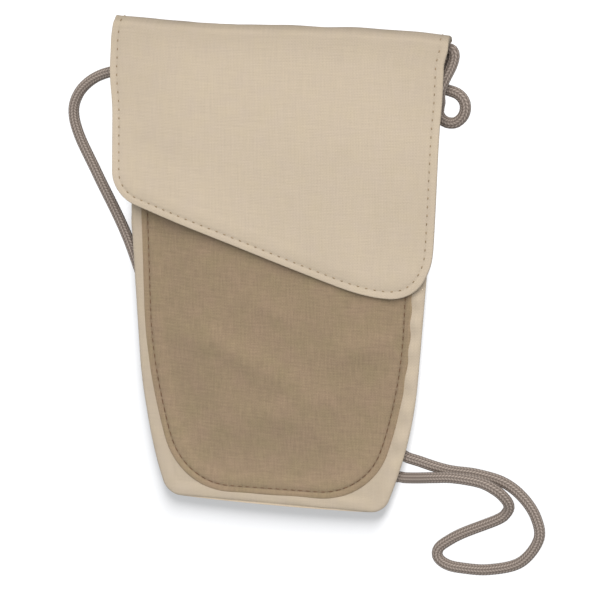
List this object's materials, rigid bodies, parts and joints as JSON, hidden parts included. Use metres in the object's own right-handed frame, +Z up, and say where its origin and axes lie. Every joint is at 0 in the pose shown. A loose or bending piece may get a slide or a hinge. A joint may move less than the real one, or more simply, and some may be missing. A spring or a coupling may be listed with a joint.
{
  "type": "neck pouch",
  "caption": "Soft neck pouch lying on its back, with a khaki patch pocket, a slanted beige flap that folds over the top and closes with hook and loop, and a braided neck cord.",
  "frame": {"origin": "on the table under the middle of the pouch, which lies on its back", "axes": "+X to the right of the front, +Y towards the fold of the flap, +Z up out of the front"},
  "size_m": [0.2077, 0.224, 0.0151],
  "materials": {
    "beige_cloth": "plain woven polyester-cotton, matte, with fine slubs",
    "khaki_cloth": "plain woven polyester-cotton, matte, mottled",
    "lining_cloth": "thin plain woven lining, matte",
    "hook_and_loop": "hook and loop tape",
    "tan_thread": "sewing thread",
    "brown_thread": "sewing thread",
    "cord_braid": "tubular braid with light flecks"
  },
  "bodies": {
    "pouch": {"back_panel": "beige_cloth", "back_lining": "lining_cloth", "front_panel": "beige_cloth", "front_lining": "lining_cloth", "mouth_stitching": "tan_thread", "front_pocket": "khaki_cloth", "pocket_stitching": "brown_thread", "pocket_hem_stitching": "brown_thread", "loop_patch": "hook_and_loop", "loop_stitching": "tan_thread", "flap_fold": "beige_cloth", "cord_tab_left": "beige_cloth", "cord_tab_right": "beige_cloth", "tab_stitching": "tan_thread", "neck_cord": "cord_braid"},
    "flap": {"flap_outer": "beige_cloth", "flap_lining": "lining_cloth", "flap_stitching": "tan_thread", "hook_patch": "hook_and_loop", "hook_stitching": "tan_thread"}
  },
  "joints": [
    {"name": "flap_hinge", "type": "hinge", "parent": "pouch", "child": "flap", "pos_m": [0, 0.0974, 0.0092], "axis": [-1, 0, 0], "range_deg": [0, 180], "deforming": ["flap_fold"]}
  ]
}
